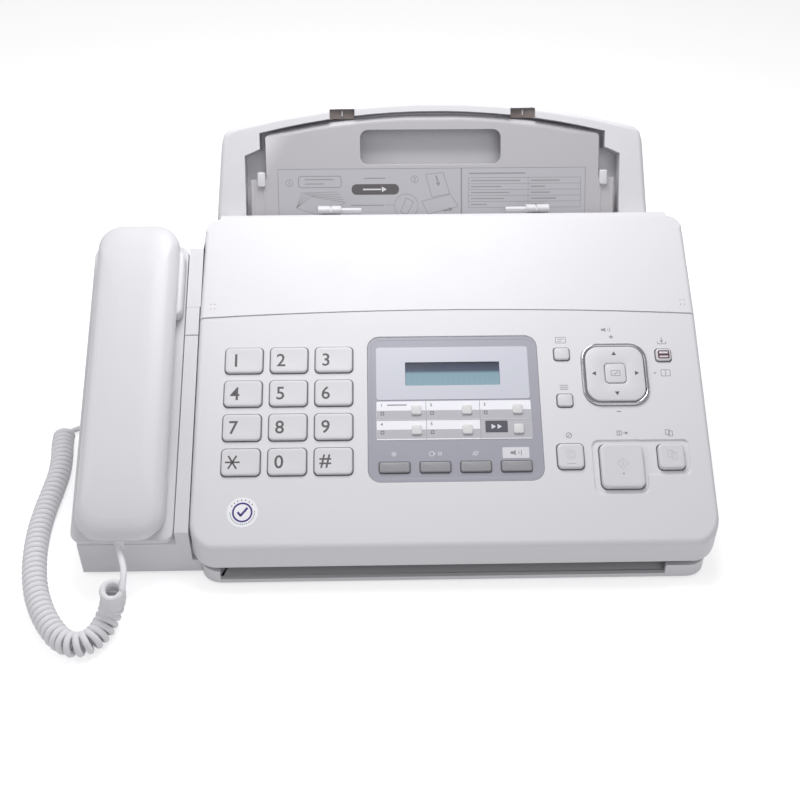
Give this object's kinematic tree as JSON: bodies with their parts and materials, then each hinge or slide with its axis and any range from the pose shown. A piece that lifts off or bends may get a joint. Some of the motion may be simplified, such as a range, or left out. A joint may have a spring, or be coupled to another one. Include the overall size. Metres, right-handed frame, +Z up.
{
  "type": "fax machine",
  "caption": "Desktop plain-paper fax machine with a corded handset on a side cradle, a sloping keypad panel, a display and a rear paper tray.",
  "frame": {"origin": "on the table, under the middle of the machine's width and depth, cord not counted", "axes": "+X to the right seen from the front, +Y to the back, +Z up"},
  "size_m": [0.3925, 0.303, 0.1813],
  "materials": {
    "housing_plastic": "fine moulded texture",
    "key_plastic": "smooth matt",
    "grey_plastic": "satin",
    "pale_grey_plastic": "satin",
    "lcd": "clear window over a dark display",
    "chrome_ring": "satin chrome",
    "circuit_board": "solder mask",
    "rubber": "ground",
    "ink_film": "glossy film",
    "sheet_steel": "zinc plated",
    "black_plastic": "moulded",
    "green_plastic": "moulded",
    "cord_vinyl": "soft vinyl",
    "gear_plastic": "acetal"
  },
  "bodies": {
    "root": {"base_cabinet": "housing_plastic", "bottom_plate": "sheet_steel", "cradle": "housing_plastic", "cord_coil": "cord_vinyl", "cord_lead_handset": "cord_vinyl", "cord_lead_base": "cord_vinyl", "thermal_head": "sheet_steel", "drive_motor": "sheet_steel", "main_board": "circuit_board", "rear_jacks": "black_plastic", "rubber_feet": "rubber"},
    "front_cover": {"front_cover": "housing_plastic", "display_bezel": "grey_plastic", "lcd_module": "lcd", "nav_ring": "chrome_ring", "operation_board": "circuit_board"},
    "back_cover": {"back_cover": "housing_plastic", "paper_tray": "housing_plastic"},
    "tension_plate": {"tension_plate": "pale_grey_plastic"},
    "guide_right": {"document_guide_right": "housing_plastic"},
    "guide_left": {"document_guide_left": "housing_plastic"},
    "handset": {"handset_upper_shell": "housing_plastic", "handset_lower_shell": "housing_plastic"},
    "hook_lever": {"hook_lever": "housing_plastic"},
    "platen": {"platen_roller": "rubber"},
    "pickup": {"pickup_roller": "rubber"},
    "film_supply": {"film_supply_roll": "ink_film"},
    "film_takeup": {"film_takeup_roll": "ink_film"},
    "idler": {"idler_gear": "gear_plastic"},
    "release_lever": {"release_lever": "green_plastic"},
    "key_1": {"key_1": "key_plastic"},
    "key_2": {"key_2": "key_plastic"},
    "key_3": {"key_3": "key_plastic"},
    "key_4": {"key_4": "key_plastic"},
    "key_5": {"key_5": "key_plastic"},
    "key_6": {"key_6": "key_plastic"},
    "key_7": {"key_7": "key_plastic"},
    "key_8": {"key_8": "key_plastic"},
    "key_9": {"key_9": "key_plastic"},
    "key_star": {"key_star": "key_plastic"},
    "key_0": {"key_0": "key_plastic"},
    "key_hash": {"key_hash": "key_plastic"},
    "one_touch_key_1": {"one_touch_key_1": "key_plastic"},
    "one_touch_key_2": {"one_touch_key_2": "key_plastic"},
    "one_touch_key_3": {"one_touch_key_3": "key_plastic"},
    "one_touch_key_4": {"one_touch_key_4": "key_plastic"},
    "one_touch_key_5": {"one_touch_key_5": "key_plastic"},
    "one_touch_key_6": {"one_touch_key_6": "key_plastic"},
    "function_key_1": {"function_key_1": "grey_plastic"},
    "function_key_2": {"function_key_2": "grey_plastic"},
    "function_key_3": {"function_key_3": "grey_plastic"},
    "function_key_4": {"function_key_4": "grey_plastic"},
    "caller_id_key": {"caller_id_key": "key_plastic"},
    "menu_key": {"menu_key": "key_plastic"},
    "auto_answer_key": {"auto_answer_key": "key_plastic"},
    "nav_key": {"nav_key": "key_plastic"},
    "set_key": {"set_key": "key_plastic"},
    "stop_key": {"stop_key": "key_plastic"},
    "start_key": {"start_key": "key_plastic"},
    "copy_key": {"copy_key": "key_plastic"}
  },
  "joints": [
    {"name": "front_cover_hinge", "type": "hinge", "parent": "root", "child": "front_cover", "pos_m": [0.0325, -0.12, 0.018], "axis": [1, 0, 0], "range_deg": [0, 45]},
    {"name": "back_cover_hinge", "type": "hinge", "parent": "root", "child": "back_cover", "pos_m": [0.0325, 0.1225, 0.076], "axis": [-1, 0, 0], "range_deg": [0, 28]},
    {"name": "tension_plate_hinge", "type": "hinge", "parent": "back_cover", "child": "tension_plate", "pos_m": [0.0265, 0.0556, 0.0976], "axis": [1, 0, 0], "range_deg": [0, 6]},
    {"name": "guide_right_slide", "type": "slide", "parent": "back_cover", "child": "guide_right", "axis": [1, 0, 0], "range_m": [0, 0.04]},
    {"name": "handset_lift", "type": "slide", "parent": "root", "child": "handset", "axis": [0, -0.5, 0.866], "range_m": [0, 0.06]},
    {"name": "release_lever_pivot", "type": "hinge", "parent": "root", "child": "release_lever", "pos_m": [-0.0928, -0.008, 0.058], "axis": [-1, 0, 0], "range_deg": [0, 35]},
    {"name": "platen_spin", "type": "hinge", "parent": "root", "child": "platen", "pos_m": [0.0265, -0.028, 0.026], "axis": [1, 0, 0], "continuous": true},
    {"name": "pickup_spin", "type": "hinge", "parent": "root", "child": "pickup", "pos_m": [0.0265, 0.051, 0.079], "axis": [1, 0, 0], "continuous": true},
    {"name": "guide_left_slide", "type": "slide", "parent": "back_cover", "child": "guide_left", "axis": [1, 0, 0], "range_m": [-0.04, 0]},
    {"name": "hook_switch", "type": "slide", "parent": "root", "child": "hook_lever", "axis": [0, -0.5, 0.866], "range_m": [0, 0.003]},
    {"name": "idler_spin", "type": "hinge", "parent": "root", "child": "idler", "pos_m": [0.0265, -0.006, 0.026], "axis": [1, 0, 0], "continuous": true},
    {"name": "film_takeup_spin", "type": "hinge", "parent": "root", "child": "film_takeup", "pos_m": [0.0265, -0.064, 0.027], "axis": [1, 0, 0], "continuous": true},
    {"name": "film_supply_spin", "type": "hinge", "parent": "root", "child": "film_supply", "pos_m": [0.0265, 0.014, 0.046], "axis": [1, 0, 0], "continuous": true},
    {"name": "key_1_press", "type": "slide", "parent": "front_cover", "child": "key_1", "axis": [0, 0.5, -0.866], "range_m": [0, 0.0012], "stiffness_N_per_m": 400, "springref_m": -0.0005},
    {"name": "key_2_press", "type": "slide", "parent": "front_cover", "child": "key_2", "axis": [0, 0.5, -0.866], "range_m": [0, 0.0012], "stiffness_N_per_m": 400, "springref_m": -0.0005},
    {"name": "key_3_press", "type": "slide", "parent": "front_cover", "child": "key_3", "axis": [0, 0.5, -0.866], "range_m": [0, 0.0012], "stiffness_N_per_m": 400, "springref_m": -0.0005},
    {"name": "key_4_press", "type": "slide", "parent": "front_cover", "child": "key_4", "axis": [0, 0.5, -0.866], "range_m": [0, 0.0012], "stiffness_N_per_m": 400, "springref_m": -0.0005},
    {"name": "key_5_press", "type": "slide", "parent": "front_cover", "child": "key_5", "axis": [0, 0.5, -0.866], "range_m": [0, 0.0012], "stiffness_N_per_m": 400, "springref_m": -0.0005},
    {"name": "key_6_press", "type": "slide", "parent": "front_cover", "child": "key_6", "axis": [0, 0.5, -0.866], "range_m": [0, 0.0012], "stiffness_N_per_m": 400, "springref_m": -0.0005},
    {"name": "key_7_press", "type": "slide", "parent": "front_cover", "child": "key_7", "axis": [0, 0.5, -0.866], "range_m": [0, 0.0012], "stiffness_N_per_m": 400, "springref_m": -0.0005},
    {"name": "key_8_press", "type": "slide", "parent": "front_cover", "child": "key_8", "axis": [0, 0.5, -0.866], "range_m": [0, 0.0012], "stiffness_N_per_m": 400, "springref_m": -0.0005},
    {"name": "key_9_press", "type": "slide", "parent": "front_cover", "child": "key_9", "axis": [0, 0.5, -0.866], "range_m": [0, 0.0012], "stiffness_N_per_m": 400, "springref_m": -0.0005},
    {"name": "key_star_press", "type": "slide", "parent": "front_cover", "child": "key_star", "axis": [0, 0.5, -0.866], "range_m": [0, 0.0012], "stiffness_N_per_m": 400, "springref_m": -0.0005},
    {"name": "key_0_press", "type": "slide", "parent": "front_cover", "child": "key_0", "axis": [0, 0.5, -0.866], "range_m": [0, 0.0012], "stiffness_N_per_m": 400, "springref_m": -0.0005},
    {"name": "key_hash_press", "type": "slide", "parent": "front_cover", "child": "key_hash", "axis": [0, 0.5, -0.866], "range_m": [0, 0.0012], "stiffness_N_per_m": 400, "springref_m": -0.0005},
    {"name": "one_touch_key_1_press", "type": "slide", "parent": "front_cover", "child": "one_touch_key_1", "axis": [0, 0.5, -0.866], "range_m": [0, 0.0012], "stiffness_N_per_m": 400, "springref_m": -0.0005},
    {"name": "one_touch_key_2_press", "type": "slide", "parent": "front_cover", "child": "one_touch_key_2", "axis": [0, 0.5, -0.866], "range_m": [0, 0.0012], "stiffness_N_per_m": 400, "springref_m": -0.0005},
    {"name": "one_touch_key_3_press", "type": "slide", "parent": "front_cover", "child": "one_touch_key_3", "axis": [0, 0.5, -0.866], "range_m": [0, 0.0012], "stiffness_N_per_m": 400, "springref_m": -0.0005},
    {"name": "one_touch_key_4_press", "type": "slide", "parent": "front_cover", "child": "one_touch_key_4", "axis": [0, 0.5, -0.866], "range_m": [0, 0.0012], "stiffness_N_per_m": 400, "springref_m": -0.0005},
    {"name": "one_touch_key_5_press", "type": "slide", "parent": "front_cover", "child": "one_touch_key_5", "axis": [0, 0.5, -0.866], "range_m": [0, 0.0012], "stiffness_N_per_m": 400, "springref_m": -0.0005},
    {"name": "one_touch_key_6_press", "type": "slide", "parent": "front_cover", "child": "one_touch_key_6", "axis": [0, 0.5, -0.866], "range_m": [0, 0.0012], "stiffness_N_per_m": 400, "springref_m": -0.0005},
    {"name": "function_key_1_press", "type": "slide", "parent": "front_cover", "child": "function_key_1", "axis": [0, 0.5, -0.866], "range_m": [0, 0.0012], "stiffness_N_per_m": 400, "springref_m": -0.0005},
    {"name": "function_key_2_press", "type": "slide", "parent": "front_cover", "child": "function_key_2", "axis": [0, 0.5, -0.866], "range_m": [0, 0.0012], "stiffness_N_per_m": 400, "springref_m": -0.0005},
    {"name": "function_key_3_press", "type": "slide", "parent": "front_cover", "child": "function_key_3", "axis": [0, 0.5, -0.866], "range_m": [0, 0.0012], "stiffness_N_per_m": 400, "springref_m": -0.0005},
    {"name": "function_key_4_press", "type": "slide", "parent": "front_cover", "child": "function_key_4", "axis": [0, 0.5, -0.866], "range_m": [0, 0.0012], "stiffness_N_per_m": 400, "springref_m": -0.0005},
    {"name": "caller_id_key_press", "type": "slide", "parent": "front_cover", "child": "caller_id_key", "axis": [0, 0.5, -0.866], "range_m": [0, 0.0012], "stiffness_N_per_m": 400, "springref_m": -0.0005},
    {"name": "menu_key_press", "type": "slide", "parent": "front_cover", "child": "menu_key", "axis": [0, 0.5, -0.866], "range_m": [0, 0.0012], "stiffness_N_per_m": 400, "springref_m": -0.0005},
    {"name": "auto_answer_key_press", "type": "slide", "parent": "front_cover", "child": "auto_answer_key", "axis": [0, 0.5, -0.866], "range_m": [0, 0.0012], "stiffness_N_per_m": 400, "springref_m": -0.0005},
    {"name": "nav_key_press", "type": "slide", "parent": "front_cover", "child": "nav_key", "axis": [0, 0.5, -0.866], "range_m": [0, 0.0012], "stiffness_N_per_m": 400, "springref_m": -0.0005},
    {"name": "set_key_press", "type": "slide", "parent": "front_cover", "child": "set_key", "axis": [0, 0.5, -0.866], "range_m": [0, 0.0012], "stiffness_N_per_m": 400, "springref_m": -0.0005},
    {"name": "stop_key_press", "type": "slide", "parent": "front_cover", "child": "stop_key", "axis": [0, 0.5, -0.866], "range_m": [0, 0.0012], "stiffness_N_per_m": 400, "springref_m": -0.0005},
    {"name": "start_key_press", "type": "slide", "parent": "front_cover", "child": "start_key", "axis": [0, 0.5, -0.866], "range_m": [0, 0.0012], "stiffness_N_per_m": 400, "springref_m": -0.0005},
    {"name": "copy_key_press", "type": "slide", "parent": "front_cover", "child": "copy_key", "axis": [0, 0.5, -0.866], "range_m": [0, 0.0012], "stiffness_N_per_m": 400, "springref_m": -0.0005}
  ],
  "couplings": [
    {"joint": "guide_left_slide", "follows": "guide_right_slide", "ratio": -1},
    {"joint": "hook_switch", "follows": "handset_lift", "ratio": 0.05},
    {"joint": "idler_spin", "follows": "platen_spin", "ratio": -1},
    {"joint": "film_takeup_spin", "follows": "platen_spin", "ratio": 0.88889},
    {"joint": "film_supply_spin", "follows": "platen_spin", "ratio": 0.53333}
  ]
}
